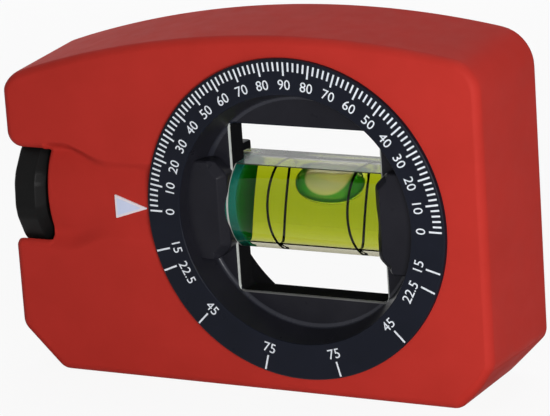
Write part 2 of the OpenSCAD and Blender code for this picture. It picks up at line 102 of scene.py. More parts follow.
RELIEF_LOWER_ROWS = 8

# Rear cover
COVER_LEFT = -32.6
COVER_RIM = 1.8
COVER_GAP = 0.1
COVER_Y = 6.4
COVER_EDGE_R = 0.35
COVER_CORNER_R = 0.6
COVER_FOOT_R = 1.8
COVER_ARCH_RIGHT = 5.0
COVER_ARCH_LEFT = 3.0
COVER_SCREWS = ((-28.1, 42.8), (-28.1, 15.8), (35.1, 48.5), (35.1, 11.7))
COVER_HEAD_R = 2.35
COVER_HEAD_T = 1.4
COVER_HOLE_R = 1.15
COVER_RECESS = 0.7

# Dial
DIAL_X = 9.3
DIAL_Z = 28.4
DIAL_R = 25.5
HUB_R = 24.6
BORE_R = 24.68
FACE_Y = 10.9
PRINT_T = 0.04
SEAT_Y = 10.05
RIM_EDGE_R = 0.35
RING_EDGE_R = 0.28
RING_IN_R = 19.85
RING_DROP = 0.5
DISH_FLOOR_R = 18.45
DISH_DEPTH = 5.2
DISH_FILLET_R = 0.7
DISH_FILLET_IN = 0.55
DISH_FILLET_OUT = 0.2
FLOOR_Y = DISH_DEPTH - FACE_Y
FLOOR_RING = 2.0
WINDOW_W = 25.6
WINDOW_H = 27.0
WINDOW_LIP = 4.0
WINDOW_STEP = 1.4
WINDOW_SIDE = 2.3
WINDOW_R = 0.9
WINDOW_EDGE_R = 0.28
REAR_WEB_T = 2.5
REAR_DISH_R = 21.6
REAR_RIM_R = 23.6
REAR_FILLET_R = 0.5
REAR_FILLET_IN = 0.6
REAR_RIM_DROP = 0.3
REAR_BLOCK_H = 5.0
REAR_BLOCK_EDGE_R = 0.4
BLOCK_LAP = 0.05
BLOCK_IN = WINDOW_W / 2 - BLOCK_LAP
BLOCK_HALF = 8.0
BLOCK_SINK = 1.9
BLOCK_CUT = 2.2
BLOCK_BEVEL = 1.4
BLOCK_SIDE_EDGE_R = 0.3
BLOCK_OUT = 21.0
BLOCK_CORNER_R = 1.5
DIAL_SCREWS = ((5.0, 16.85), (-5.0, 16.85), (5.0, -16.85), (-5.0, -16.85))
DIAL_HEAD_R = 1.65
DIAL_HEAD_Y = 1.9
DIAL_HEAD_FACE = 3.1
DIAL_HOLE_R = 0.85
DIAL_RECESS = 0.6

# Scale on the dial: angles are anticlockwise from the right, seen from the front
TICK_OUT_R = 25.0
TICK_LONG = 2.1
TICK_SHORT = 1.4
TICK_W = 0.28
TICK_STEP = 2
NUMBER_STEP = 10
LOWER_TICK_OUT_R = 25.2
LOWER_TICK_LEN = 2.4
# Lower marks: degrees below the horizontal of the tick and of its number, and the number
LOWER_MARKS = ((15, 15, "15"), (22.5, 26.7, "22.5"), (45, 45, "45"), (75, 75, "75"))
NUMBER_H = 1.55
NUMBER_R = 21.5
REAR_TICK_LONG = 1.1
REAR_TICK_SHORT = 0.6

# Vial
VIAL_HALF_T = 8.2
VIAL_HALF_H = 6.7
VIAL_FACE_R = 7.8
VIAL_FACE_STEPS = 40
VIAL_EDGE_R = 0.6
VIAL_EDGE_DROP = 0.085
VIAL_LEN = 33.0
VIAL_END_EASE = 0.3
VIAL_GAP = 0.02
GRIP_LINE = 0.15
LIQUID_R = 4.45
LIQUID_LEN = 25.1
BUBBLE_LEN = 12.0
BUBBLE_X = 2.3
BUBBLE_R = 4.35
BUBBLE_HALF_W = 3.5
BUBBLE_MIDDLE = 2.4
BUBBLE_BASE = -0.1
BUBBLE_END_POWER = 2.3
BUBBLE_RIM_POWER = 5
BUBBLE_FADE = 0.82

# Lock
WHEEL_R = 11.0
WHEEL_OUT_X = -40.75
WHEEL_IN_X = -35.55
WHEEL_FLATS = 12
WHEEL_TURN = 4.2
WHEEL_SOFT_R = 3.5
# Steps of the wheel's rims: distance from the face, and inset from the corners
WHEEL_INNER_RIM = ((0.0, 1.35), (0.12, 1.2), (1.1, 0.12), (1.3, 0.0))
WHEEL_OUTER_RIM = ((0.7, 0.0), (0.3, 0.1), (0.1, 0.3), (0.0, 0.7))
# Steps of the dish in the wheel's outer face: radius and depth
WHEEL_DISH = ((8.4, -0.5), (8.4, 0.0), (7.9, 0.35), (4.6, 0.35))
JOURNAL_R = 4.2
JOURNAL_END = -29.55
INSERT_BORE_R = 3.17
BUSH_BORE_R = 5.47
BUSH_END = -30.8
CHAMBER_R = 5.6
CHAMBER_END = -20.55
GUIDE_START = -21.2
GUIDE_END = -10.7
GUIDE_HALF_W = 4.15
GUIDE_HALF_H = 4.65

# Pointers
POINTER_TIP = -16.55
POINTER_LEN = 5.9
POINTER_W = 3.9
POINTER_DEPTH = 0.8
POINTER_PROUD = 0.25
POINTER_BORDER = 0.36
POINTER_STEP = 0.02
POINTER_CORNER_R = 0.12
POINTER_EDGE_R = 0.08

# Magnets
MAGNET_XS = (-28.0, -12.0, 28.0)
CUP_R = 6.04
CUP_TOP = 5.74

# Stage
FLOOR_HALF = 3000.0
FLOOR_WHITE = 0.92
WORLD_LIGHT = 0.16
LAMP_TARGET = (0, 0, 30)
# Lamps: name, place and size in millimetres, power in watts, and whether a gloss mirrors it
LAMPS = (("key", (155, -210, 70), 100, 0.545, True), ("top", (0, 500, 1400), 1000, 7.0, True),
         ("rear", (-140, 360, 45), 300, 0.6, False))

# Photograph's camera, placed from the middle of the dial's face
FOCAL_PX = 3389.0
IMAGE_W = 550
SENSOR_W = 36.0
CLIP_START = 10.0
CLIP_END = 20000.0
AZIMUTH = 28.42
ELEVATION = 15.71
ROLL = -3.95
CAMERA_RIGHT = -2.725
CAMERA_UP = 2.075
CAMERA_DISTANCE = 517.1


# Shape helpers: a shape is a pair (points, faces) in millimetres

def smoothstep(low, high, value):
    """Rises smoothly from 0 at low to 1 at high."""
    t = min(max((value - low) / (high - low), 0.0), 1.0)
    return t * t * (3 - 2 * t)


def join(*shapes):
    """Several shapes as one."""
    points, faces = [], []
    for shape_points, shape_faces in shapes:
        start = len(points)
        points += shape_points
        faces += [[i + start for i in face] for face in shape_faces]
    return points, faces


def loft(loops, caps=True):
    """A skin through closed loops of equally many points, closed at both ends if caps."""
    count = len(loops[0])
    points = [point for loop in loops for point in loop]
    faces = []
    for k in range(len(loops) - 1):
        a, b = k * count, (k + 1) * count
        for i in range(count):
            j = (i + 1) % count
            faces.append([a + i, a + j, b + j, b + i])
    if caps:
        faces.append(list(range(count))[::-1])
        faces.append([len(points) - count + i for i in range(count)])
    return points, faces


def polar(r, degrees):
    """The point at a radius and angle."""
    a = math.radians(degrees)
    return Vector((r * math.cos(a), r * math.sin(a)))


def circle(r, steps):
    """Points of a circle about the origin."""
    turn = 2 * math.pi / steps
    return [(r * math.cos(i * turn), r * math.sin(i * turn)) for i in range(steps)]


def pin_loop(r, y, x, z, steps):
    """A circle about an axis along Y."""
    return [(x + u, y, z + v) for u, v in circle(r, steps)]


def pin(r, y_low, y_high, x, z, steps):
    """A cylinder along Y."""
    return loft([pin_loop(r, y, x, z, steps) for y in (y_low, y_high)])


def rod_loop(r, x, steps=96):
    """A circle about the axis along X through the dial's middle."""
    return [(x, u, DIAL_Z + v) for u, v in circle(r, steps)]


def rod(r, x_low, x_high, steps=96):
    """A cylinder along X."""
    return loft([rod_loop(r, x, steps) for x in (x_low, x_high)])


def post(r, x, z_low, z_high, steps=64):
    """A cylinder along Z."""
    return loft([[(x + u, v, z) for u, v in circle(r, steps)] for z in (z_low, z_high)])


def turned(profile, steps=192):
    """A solid about the dial's axis from pairs (radius, y)."""
    return loft([pin_loop(r, y, DIAL_X, DIAL_Z, steps) for r, y in profile])


def rounded(profile, radius, index, steps=4):
    """Replaces one corner of a profile of (r, y) pairs by an arc."""
    corner = Vector(profile[index])
    before = (Vector(profile[index - 1]) - corner).normalized()
    after = (Vector(profile[index + 1]) - corner).normalized()
    half = before.angle(after) / 2
    reach = radius / math.tan(half)
    start, end = corner + before * reach, corner + after * reach
    arc = []
    for k in range(steps + 1):
        t = k / steps
        arc.append(tuple(start * (1 - t) ** 2 + corner * (2 * t * (1 - t)) + end * t ** 2))
    return profile[:index] + arc + profile[index + 1:]


def rounded_path(corners, spacing=1.2, arc_steps=10):
    """Samples of a closed anticlockwise outline.
    A corner is (u, v, its radius, edge radius of the side after it).
    A sample is (point, outward normal, edge radius)."""
    arcs = []
    count = len(corners)
    for i, (u, v, r, edge) in enumerate(corners):
        corner = Vector((u, v))
        into = (corner - Vector(corners[i - 1][:2])).normalized()
        away = (Vector(corners[(i + 1) % count][:2]) - corner).normalized()
        turn = math.atan2(into.x * away.y - into.y * away.x, into.dot(away))
        steps = max(1, round(arc_steps * abs(turn) / (math.pi / 2))) if r else 0
        start = corner - into * (r * math.tan(abs(turn) / 2))
        side = 1 if turn > 0 else -1
        middle = start + Vector((-into.y, into.x)) * (side * r)
        first = math.atan2(-into.x, into.y)
        samples = []
        for k in range(steps + 1):
            share = k / steps if steps else 0.5
            angle = first + turn * share
            normal = Vector((math.cos(angle), math.sin(angle)))
            point = middle + normal * (side * r)
            blend = corners[i - 1][3] * (1 - share) + edge * share
            samples.append((point, normal, blend))
        arcs.append(samples)
    path = []
    for i, samples in enumerate(arcs):
        path += samples
        start, normal, edge = samples[-1]
        end, end_normal, end_edge = arcs[(i + 1) % count][0]
        steps = max(1, math.ceil((end - start).length / spacing))
        for k in range(1, steps):
            t = k / steps
            between = normal.lerp(end_normal, t).normalized()
            path.append((start.lerp(end, t), between, edge + (end_edge - edge) * t))
    return path


QUADRANTS = ((-1, -1), (1, -1), (1, 1), (-1, 1))


def rectangle_path(x, z, half_w, half_h, r=0.0, spacing=1.2):
    """The outline of a rectangle about (x, z), with sharp edges."""
    return rounded_path([(x + u * half_w, z + v * half_h, r, 0.0) for u, v in QUADRANTS], spacing)


# Edge profiles: inset from the side and drop from the face, as shares of the edge radius
QUARTER_ROUND = [(1 - math.cos(math.radians(a)), 1 - math.sin(math.radians(a))) for a in range(0, 91, 15)]
EASED_BEVEL = [(0, 1), (0.03, 0.88), (0.12, 0.76), (0.76, 0.12), (0.88, 0.03), (1, 0)]
SHARP = [(0, 0)]


def edge_loops(path, face_y, inward, profile=QUARTER_ROUND):
    """Loops from a slab's side up to its face. face_y gives the face's height at a point.
    inward is 1 where the slab lies at larger y than its face, and -1 where it lies at smaller y."""
    loops = []
    for inset, drop in profile:
        loop = []
        for point, normal, edge in path:
            rim = point - normal * edge
            spot = point - normal * (edge * inset)
            loop.append((spot.x, face_y(rim.x, rim.y) + inward * edge * drop, spot.y))
        loops.append(loop)
    return loops


def slab(path, low_y, high_y, low_profile=QUARTER_ROUND, high_profile=QUARTER_ROUND):
    """A closed slab over an outline in X and Z, with both faces flat and their edges eased."""
    low = edge_loops(path, lambda x, z: low_y, 1, low_profile)
    high = edge_loops(path, lambda x, z: high_y, -1, high_profile)
    return loft(low[::-1] + high)


# Piece helpers

def new_object(name, data):
    """A new object in the scene."""
    made = bpy.data.objects.new(name, data)
    bpy.context.scene.collection.objects.link(made)
    return made


def scratch(shape):
    """A shape as an object in millimetres."""
    mesh = bpy.data.meshes.new("scratch")
    points, faces = shape
    mesh.from_pydata(points, [], faces)
    solid = bmesh.new()
    solid.from_mesh(mesh)
    bmesh.ops.remove_doubles(solid, verts=solid.verts, dist=WELD)
    loose = [v for v in solid.verts if not v.link_faces]
    bmesh.ops.delete(solid, geom=loose, context="VERTS")
    bmesh.ops.recalc_face_normals(solid, faces=solid.faces)
    solid.to_mesh(mesh)
    solid.free()
    return new_object("scratch", mesh)


def evaluated_mesh(made):
    """A new mesh of an object as its modifiers leave it."""
    return bpy.data.meshes.new_from_object(made.evaluated_get(bpy.context.evaluated_depsgraph_get()))


def combine(target, shape, operation):
    """Cuts a shape out of target, or adds it."""
    tool = scratch(shape)
    change = target.modifiers.new("combine", "BOOLEAN")
    change.operation = operation
    change.solver = "MANIFOLD"
    change.object = tool
    result = evaluated_mesh(target)
    target.modifiers.clear()
    target.data = result
    bpy.data.objects.remove(tool)


def cut(target, *shapes):
    for shape in shapes:
        combine(target, shape, "DIFFERENCE")


def add(target, *shapes):
    for shape in shapes:
        combine(target, shape, "UNION")


def piece(name, made, material, body, nodes=(), smooth=35.0):
    """Finishes a scratch object as a piece in metres, which rides on a body and stands for nodes."""
    mesh = made.data
    made.name = mesh.name = name
    mesh.transform(Matrix.Scale(MM, 4))
    mesh.materials.clear()
    mesh.materials.append(material)
    mesh.shade_smooth()
    mesh.set_sharp_from_angle(angle=math.radians(smooth))
    made.modifiers.new("normals", "WEIGHTED_NORMAL").keep_sharp = True
    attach(made, body)
    if nodes:
        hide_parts(*nodes)
    return made


def paint(made, material, test):
    """Gives one more material to the faces whose middle, in millimetres, passes a test."""
    mesh = made.data
    mesh.materials.append(material)
    for face in mesh.polygons:
        if test(face.center / MM):
            face.material_index = len(mesh.materials) - 1


# Material helpers

def feed(target, value):
    """Sets a node's input to a value, or links it to another node's output."""
    if isinstance(value, bpy.types.NodeSocket):
        target.id_data.links.new(value, target)
    else:
        target.default_value = value


def fill(node, **values):
    """Feeds a node's inputs, whose names have underscores here in place of spaces."""
    for key, value in values.items():
        feed(node.inputs[key.replace("_", " ")], value)


def calculate(tree, operation, *values):
    """The output of a node that applies an operation to values."""
    node = tree.nodes.new("ShaderNodeMath")
    node.operation = operation
    for target, value in zip(node.inputs, values):
        feed(target, value)
    return node.outputs[0]


class Nodes:
    """A material's node tree with short ways to add what these materials use."""

    def __init__(self, name):
        self.material = bpy.data.materials.new(name)
        self.material.use_nodes = True
        self.tree = self.material.node_tree
        self.shader = self.tree.nodes["Principled BSDF"]
        self.place = self.new("TexCoord").outputs["Object"]

    def new(self, kind, **settings):
        node = self.tree.nodes.new("ShaderNode" + kind)
        for key, value in settings.items():
            setattr(node, key, value)
        return node

    def noise(self, size, detail=2.0, roughness=0.5):
        """Noise whose features are about size millimetres across."""
        texture = self.new("TexNoise")
        fill(texture, Vector=self.place, Scale=1 / (size * MM), Detail=detail, Roughness=roughness)
        return texture.outputs["Fac"]

    def ramp(self, fac, stops):
        """Colours at positions along fac."""
        node = self.new("ValToRGB")
        fill(node, Fac=fac)
        elements = node.color_ramp.elements
        while len(elements) < len(stops):
            elements.new(0.5)
        for element, (position, color) in zip(elements, stops):
            element.position = position
            element.color = (*color, 1)
        return node.outputs["Color"]

    def tones(self, fac, dark, light, low=0.3, high=0.7):
        """Colours from dark to light. The usual low and high hold most of a noise."""
        return self.ramp(fac, [(low, dark), (high, light)])

    def fade(self, middle, reach):
        """Falls from 1 at a point to 0 at a distance of reach along each axis, both in millimetres."""
        space = self.new("Mapping", vector_type="TEXTURE")
        fill(space, Vector=self.place, Location=[MM * v for v in middle], Scale=[MM * v for v in reach])
        sphere = self.new("TexGradient", gradient_type="SPHERICAL")
        fill(sphere, Vector=space.outputs["Vector"])
        return sphere.outputs["Fac"]

    def span(self, fac, low, high, start=0.25, end=0.75):
        """Maps fac from start..end to low..high. The usual start and end hold most of a noise."""
        node = self.new("MapRange")
        fill(node, Value=fac, From_Min=start, From_Max=end, To_Min=low, To_Max=high)
        return node.outputs["Result"]

    def bump(self, height, depth):
        """Bumps of about depth millimetres."""
        node = self.new("Bump")
        fill(node, Height=height, Distance=depth * MM)
        fill(self.shader, Normal=node.outputs["Normal"])


def grey(level):
    return (level, level, level)


def plastic(name, dark, light, rough, grain=0.3, depth=0.004, cloud=9.0, specular=0.5):
    """Moulded plastic: clouded colour, a fine grain and a gloss that varies in patches."""
    nodes = Nodes(name)
    fill(nodes.shader, Base_Color=nodes.tones(nodes.noise(cloud, 4.0, 0.6), dark, light),
         Roughness=nodes.span(nodes.noise(cloud / 3, 3.0), *rough), Specular_IOR_Level=specular)
    nodes.bump(nodes.noise(grain, 3.0, 0.6), depth)
    return nodes.material


MARK_SIZE = 0.4
MARK_DEPTH = 0.006


def tool_marks(nodes, size=MARK_SIZE):
    """Fine marks on a metal, as bumps and as a noise."""
    marks = nodes.noise(size, 4.0, 0.65)
    nodes.bump(marks, MARK_DEPTH)
    fill(nodes.shader, Metallic=1.0)
    return marks


def metal(name, dark, light, rough, size=MARK_SIZE):
    """Metal with fine tool marks."""
    nodes = Nodes(name)
    fill(nodes.shader, Base_Color=nodes.tones(tool_marks(nodes, size), dark, light),
         Roughness=nodes.span(nodes.noise(size * 4, 3.0), *rough))
    return nodes.material


def screw_metal(name, dark, light, rough, face_y, recess):
    """Metal of a screw whose drive, cut to a depth of recess from face_y, darkens towards its floor as
    painted shade.
    """
    nodes = Nodes(name)
    marks = tool_marks(nodes)
    spot = nodes.new("SeparateXYZ")
    fill(spot, Vector=nodes.place)
    height = nodes.span(spot.outputs["Y"], 0.0, 1.0, MM * (face_y - recess), MM * face_y)
    shade = calculate(nodes.tree, "MULTIPLY", height, nodes.span(marks, 0.7, 1.0))
    # Painted shade: the colour falls to near black at the drive's floor.
    fill(nodes.shader, Base_Color=nodes.ramp(shade, [(0.05, grey(0.01)), (0.65, dark), (1.0, light)]),
         Roughness=nodes.span(marks, *rough))
    return nodes.material


def mix_shaders(tree, fac, first, second, output):
    """Sends first to the output where fac is 0, and second where it is 1."""
    mix = tree.nodes.new("ShaderNodeMixShader")
    for target, value in zip(mix.inputs, (fac, first.outputs[0], second.outputs[0])):
        feed(target, value)
    fill(tree.nodes[output], Surface=mix.outputs[0])


def let_light_in(nodes, shade):
    """Lets lamp light pass straight through a clear surface, tinted by shade."""
    path = nodes.new("LightPath")
    through = nodes.new("BsdfTransparent")
    fill(through, Color=(*shade, 1))
    mix_shaders(nodes.tree, path.outputs["Is Shadow Ray"], nodes.shader, through, "Material Output")


def clear(name, ior, tint, shade, absorb=None, density=0.0, rough=(0.0, 0.02), wave=6.0, depth=0.0,
          clearness=1.0):
    """Clear material. ior is relative to what surrounds the piece, and absorb colours it by depth."""
    nodes = Nodes(name)
    fill(nodes.shader, Base_Color=nodes.tones(nodes.noise(wave), *tint, 0.2, 0.8),
         Roughness=nodes.span(nodes.noise(wave), *rough), Transmission_Weight=clearness, IOR=ior,
         Specular_Tint=(*grey(0.3), 1))
    if depth:
        nodes.bump(nodes.noise(wave), depth)
    if absorb:
        volume = nodes.new("VolumeAbsorption")
        fill(volume, Color=(*absorb, 1), Density=density)
        fill(nodes.tree.nodes["Material Output"], Volume=volume.outputs["Volume"])
    let_light_in(nodes, shade)
    return nodes.material


def bubble_air():
    """Air, clear in the middle and green towards the bubble's ends and floor: the green is painted shade for
    the dark edge its curved surface shows.
    """
    nodes = Nodes("vial_bubble")
    reach = (BUBBLE_LEN / 2, FAR, BUBBLE_FADE * (BUBBLE_R - BUBBLE_BASE))
    inside = nodes.fade((DIAL_X + BUBBLE_X, 0, DIAL_Z + BUBBLE_R), reach)
    # Painted shade: green towards the rim, pale inside.
    color = nodes.ramp(inside, [(0.0, (0.03, 0.30, 0.05)), (0.30, (0.06, 0.38, 0.07)),
                                (0.38, (0.84, 0.70, 0.66)), (1.0, (0.90, 0.78, 0.76))])
    clearness = nodes.span(inside, 0.5, 0.55, 0.0, 0.4)
    fill(nodes.shader, Base_Color=color, Transmission_Weight=clearness, Roughness=0.0, IOR=0.715)
    let_light_in(nodes, grey(0.97))
    return nodes.material


# Materials: colours run from dark to light, and a finish is the range of roughness, the grain and its depth

RED_COLORS = ((0.425, 0.028, 0.020), (0.465, 0.031, 0.023))
RED_FINISH = ((0.52, 0.62), 0.22, 0.010)
DIAL_FINISH = ((0.26, 0.36), 0.18, 0.004)
RED = plastic("red_plastic", *RED_COLORS, *RED_FINISH, specular=0.055)
# Painted shade: a copy of the red with almost no gloss, for the sloped lower corners only, so that they do
# not show the bright floor's reflection.
RED_SLOPE_SHADE = plastic("red_plastic_slope_shade", *RED_COLORS, *RED_FINISH, specular=0.015)
DIAL_BLACK = plastic("dial_plastic", (0.006, 0.0075, 0.013), (0.008, 0.0095, 0.017), *DIAL_FINISH,
                     specular=0.08)
# Painted sheen: the dish is a lighter black than the ring, standing in for the light its sloped cone and
# floor catch.
DISH_SHEEN_BLACK = plastic("dish_plastic_painted_sheen", (0.010, 0.010, 0.014), (0.015, 0.015, 0.020), *DIAL_FINISH,
                     specular=0.08)
# Painted highlight: the fillet at the dish's foot is lighter and glossier than the dish all round.
DISH_FILLET_HIGHLIGHT = plastic("dish_fillet_painted_highlight", (0.016, 0.017, 0.024), (0.022, 0.023, 0.032), (0.24, 0.34), 0.18,
                    specular=0.22)
# Painted shade: a darker black without gloss for the window's walls, which keeps them from showing
# reflections.
WINDOW_WALL_SHADE = plastic("window_wall_painted_shade", (0.007, 0.007, 0.008), (0.010, 0.010, 0.011), (0.5, 0.6), 0.18,
                       specular=0.0)
WHEEL_BLACK = plastic("wheel_plastic", grey(0.004), grey(0.007), (0.34, 0.44), 0.25, 0.008, specular=0.07)
# Painted highlight: a light grey for edges that catch the light.
EDGE_HIGHLIGHT = plastic("painted_edge_highlight", (0.34, 0.36, 0.34), (0.50, 0.52, 0.50), (0.25, 0.35), depth=0.003)
# Painted highlight, weaker, for the window's foot.
DIM_EDGE_HIGHLIGHT = plastic("dim_painted_edge_highlight", grey(0.05), grey(0.09), (0.25, 0.35), depth=0.003)
# Painted shade: an opaque dark colour on the vial's rounded long edges, where clear edges show dark.
VIAL_EDGE_SHADE = plastic("vial_edge_painted_shade", (0.03, 0.035, 0.025), (0.07, 0.08, 0.06), (0.5, 0.6))
WHITE = plastic("pointer_plastic", (0.56, 0.62, 0.82), (0.64, 0.69, 0.87), (0.30, 0.40))
POINTER_RIM = plastic("pointer_rim", (0.74, 0.66, 0.70), (0.82, 0.74, 0.78), (0.35, 0.45))
PRINT = plastic("scale_print", (0.66, 0.70, 0.76), (0.80, 0.83, 0.88), (0.45, 0.60), 0.12, 0.003, cloud=0.8)
LINE = plastic("level_line_print", (0.002, 0.003, 0.002), (0.005, 0.007, 0.004), (0.5, 0.6), 0.2, 0.002,
               specular=0.0)
PLUG = plastic("plug_plastic", (0.006, 0.16, 0.13), (0.010, 0.19, 0.16), (0.5, 0.6), specular=0.0)
RUBBER = plastic("black_rubber", grey(0.014), (0.026, 0.026, 0.025), (0.62, 0.78), 0.15, 0.010)
NYLON = plastic("white_nylon", (0.70, 0.70, 0.66), (0.80, 0.80, 0.76), (0.40, 0.52))
SHOE = plastic("shoe_plastic", (0.012, 0.012, 0.013), (0.020, 0.020, 0.021), (0.45, 0.6), 0.25, 0.010)
STEEL = metal("plain_steel", (0.46, 0.47, 0.49), (0.60, 0.61, 0.63), (0.26, 0.40))
BRASS = metal("turned_brass", (0.62, 0.44, 0.17), (0.76, 0.57, 0.26), (0.22, 0.36))
NICKEL = metal("nickel_plate", (0.60, 0.60, 0.57), (0.72, 0.72, 0.70), (0.14, 0.26), size=1.5)
DIAL_SCREW = screw_metal("dial_screw_steel", (0.34, 0.35, 0.37), (0.46, 0.47, 0.49), (0.26, 0.40),
                         DIAL_HEAD_FACE, DIAL_RECESS)
COVER_SCREW = screw_metal("cover_screw_steel", (0.10, 0.10, 0.11), (0.16, 0.16, 0.17), (0.34, 0.48),
                          HALF_T, COVER_RECESS)
ACRYLIC = clear("vial_acrylic", 1.49, ((0.97, 0.99, 0.97), grey(1.0)), (0.95, 0.97, 0.95),
                absorb=(0.5, 0.45, 0.2), density=80.0, depth=0.002)
LIQUID = clear("vial_liquid", 0.94, ((0.97, 0.99, 0.94), grey(1.0)), (0.75, 0.85, 0.3),
               absorb=(0.88, 0.93, 0.0), density=520.0)
# A satin top for the vial, partly opaque and grey: the roughness is a finish, and the grey is a painted
# reflection on its top face.
FROSTED_TOP_REFLECTION = clear("frosted_acrylic_painted_reflection", 1.49, ((0.14, 0.14, 0.135), (0.44, 0.44, 0.42)), grey(0.6),
                rough=(0.15, 0.30), wave=3.0, clearness=0.6)
BUBBLE = bubble_air()


# Body

def relief_half(x, below):
    """Height of the thumb relief above or below its middle, which narrows towards the dial."""
    half = RELIEF_WIDE + (RELIEF_NARROW - RELIEF_WIDE) * smoothstep(RELIEF_WIDE_X, RELIEF_NARROW_X, x)
    if below:
        return half - RELIEF_LIFT
    return half - RELIEF_DROP * smoothstep(NOTCH_X + RELIEF_RISE, NOTCH_X - RELIEF_RISE, x)


def relief_depth(x, z):
    """Depth of the barrel-shaped thumb relief between the notch and the dial."""
    if x > DIAL_X:
        return 0.0
    across = abs(z - RELIEF_Z)
    half = relief_half(x, z < RELIEF_Z)
    soft = RELIEF_SOFT if z > RELIEF_Z else RELIEF_SOFT_LOW
    barrel = RELIEF_R - math.sqrt(RELIEF_R ** 2 - min(across, half + soft) ** 2)
    return barrel * smoothstep(-soft, soft, half - across)


def bore_gap(point):
    """Distance of a point in X and Z outside the bore of the dial."""
    return (point - Vector((DIAL_X, DIAL_Z))).length - BORE_R


def fan(middle, reach, steps):
    """Values up to reach on both sides of middle."""
    return [middle + reach * k / steps for k in range(-steps, steps + 1)]


def relief_points():
    """Points on the relief, in rows that follow its edges."""
    points = []
    x = LEFT_X + LOBE_R
    while x < DIAL_X - BORE_R + RELIEF_PAST_BORE:
        above, below = relief_half(x, False), relief_half(x, True)
        low, high = below - RELIEF_SOFT_LOW, above - RELIEF_SOFT
        rows = [(low + high) * k / RELIEF_ROWS - low for k in range(1, RELIEF_ROWS)]
        rows += fan(above, RELIEF_SOFT, RELIEF_UPPER_ROWS) + fan(-below, -RELIEF_SOFT_LOW, RELIEF_LOWER_ROWS)
        column = [Vector((x, RELIEF_Z + row)) for row in rows]
        points += [point for point in column if bore_gap(point) > RELIEF_BORE_GAP]
        x += RELIEF_STEP
    return points


def front_y(x, z):
    return relief_depth(x, z) - HALF_T


def rear_y(x, z):
    return -front_y(x, z)


def arch_z(x, inset=0.0):
    return ARCH_Z + math.sqrt((ARCH_R - inset) ** 2 - (x - ARCH_X) ** 2)


def arch_corners(from_x, to_x, inset, edge):
    """Corners along the arch from right to left."""
    xs = [from_x + (to_x - from_x) * i / ARCH_STEPS for i in range(ARCH_STEPS + 1)]
    return [(x, arch_z(x, inset), 0.0, edge) for x in xs]


def body_path():
    """The body's outline with its notch."""
    corners = [(LEFT_X + FOOT_CUT, 0, FOOT_R, EDGE_R), (RIGHT_X - FOOT_CUT, 0, FOOT_R, EDGE_R),
               (RIGHT_X, FOOT_CUT, FOOT_R, EDGE_R), (RIGHT_X, arch_z(RIGHT_X), RIGHT_CORNER_R, EDGE_R)]
    corners += arch_corners(RIGHT_X - ARCH_END, LEFT_X + ARCH_END, 0, EDGE_R)
    corners += [(LEFT_X, arch_z(LEFT_X), CORNER_R, EDGE_R), (LEFT_X, NOTCH_TOP, LOBE_R, CEILING_EDGE_R),
                (NOTCH_X, NOTCH_TOP, NOTCH_INNER_R, CEILING_INNER_EDGE_R),
                (NOTCH_X, NOTCH_TOP - CEILING_FADE, 0, NOTCH_EDGE_R),
                (NOTCH_X, NOTCH_FLOOR, NOTCH_INNER_R, FLOOR_EDGE_R),
                (LEFT_X, NOTCH_FLOOR, LIP_R, EDGE_R), (LEFT_X, FOOT_CUT, FOOT_R, EDGE_R)]
    return rounded_path(corners)


def cover_path(gap, edge):
    """The rear cover's outline, drawn in by gap from its seat."""
    inset = COVER_RIM + gap
    slope = FOOT_CUT + math.tan(math.radians(FOOT_ANGLE / 2)) * inset
    foot_r = COVER_FOOT_R - gap
    left, right = COVER_LEFT + gap, RIGHT_X - inset
    corners = [(left, inset, COVER_CORNER_R, edge), (RIGHT_X - slope, inset, foot_r, edge),
               (right, slope, foot_r, edge), (right, arch_z(right, inset), CORNER_R - inset, edge)]
    corners += arch_corners(right - COVER_ARCH_RIGHT, left + COVER_ARCH_LEFT, inset, edge)
    corners.append((left, arch_z(left, inset), COVER_CORNER_R, edge))
    return rounded_path(corners)


def bored_face(outer, bore, inner, face_y):
    """Triangles between an outline and the dial's bore, with inner points where the face is curved."""
    flat = [Vector((p[0], p[2])) for p in outer + bore] + inner
    edges = []
    for start, loop in ((0, outer), (len(outer), bore)):
        edges += [(start + i, start + (i + 1) % len(loop)) for i in range(len(loop))]
    inside_only, merge_distance = 1, 1e-6
    points, _, triangles, _, _, _ = delaunay_2d_cdt(flat, edges, [], inside_only, merge_distance)
    faces = []
    for triangle in triangles:
        middle = sum((points[i] for i in triangle), Vector((0, 0))) / 3
        if bore_gap(middle) > -HAIR:
            faces.append(list(triangle))
    digits = 5
    rim = {(round(p[0], digits), round(p[2], digits)): p[1] for p in outer + bore}
    solid = []
    for p in points:
        y = rim.get((round(p.x, digits), round(p.y, digits)))
        solid.append((p.x, face_y(p.x, p.y) if y is None else y, p.y))
    return solid, faces


def plate(path, low_y, high_y):
    """A plate with a round bore for the dial. low_y and high_y give its faces at a point."""
    low = edge_loops(path, low_y, 1)
    high = edge_loops(path, high_y, -1)
    bore = pin_loop(BORE_R, 0, DIAL_X, DIAL_Z, BORE_STEPS)
    low_bore = [(x, low_y(x, z), z) for x, _, z in bore]
    high_bore = [(x, high_y(x, z), z) for x, _, z in bore]
    inner = relief_points()
    return join(loft(low[::-1] + high, caps=False), loft([low_bore, high_bore], caps=False),
                bored_face(low[-1], low_bore, inner, low_y), bored_face(high[-1], high_bore, inner, high_y))


def drafted(shape):
    """The body with its top and right side leaning inwards towards the front."""
    points, faces = shape
    leaning = []
    for x, y, z in points:
        lean = FRONT_DRAFT * (HALF_T - y) / (2 * HALF_T)
        right = smoothstep(RIGHT_X - DRAFT_REACH, RIGHT_X, x)
        top = smoothstep(arch_z(x) - DRAFT_REACH, arch_z(x), z)
        leaning.append((x - lean * right, y, z - lean * top))
    return leaning, faces


def on_slope(middle):
    """Whether a face lies on one of the sloped lower corners, between the front and rear faces."""
    return abs(middle.x) > RIGHT_X - FOOT_CUT and middle.z < FOOT_CUT and abs(middle.y) < HALF_T - TINY


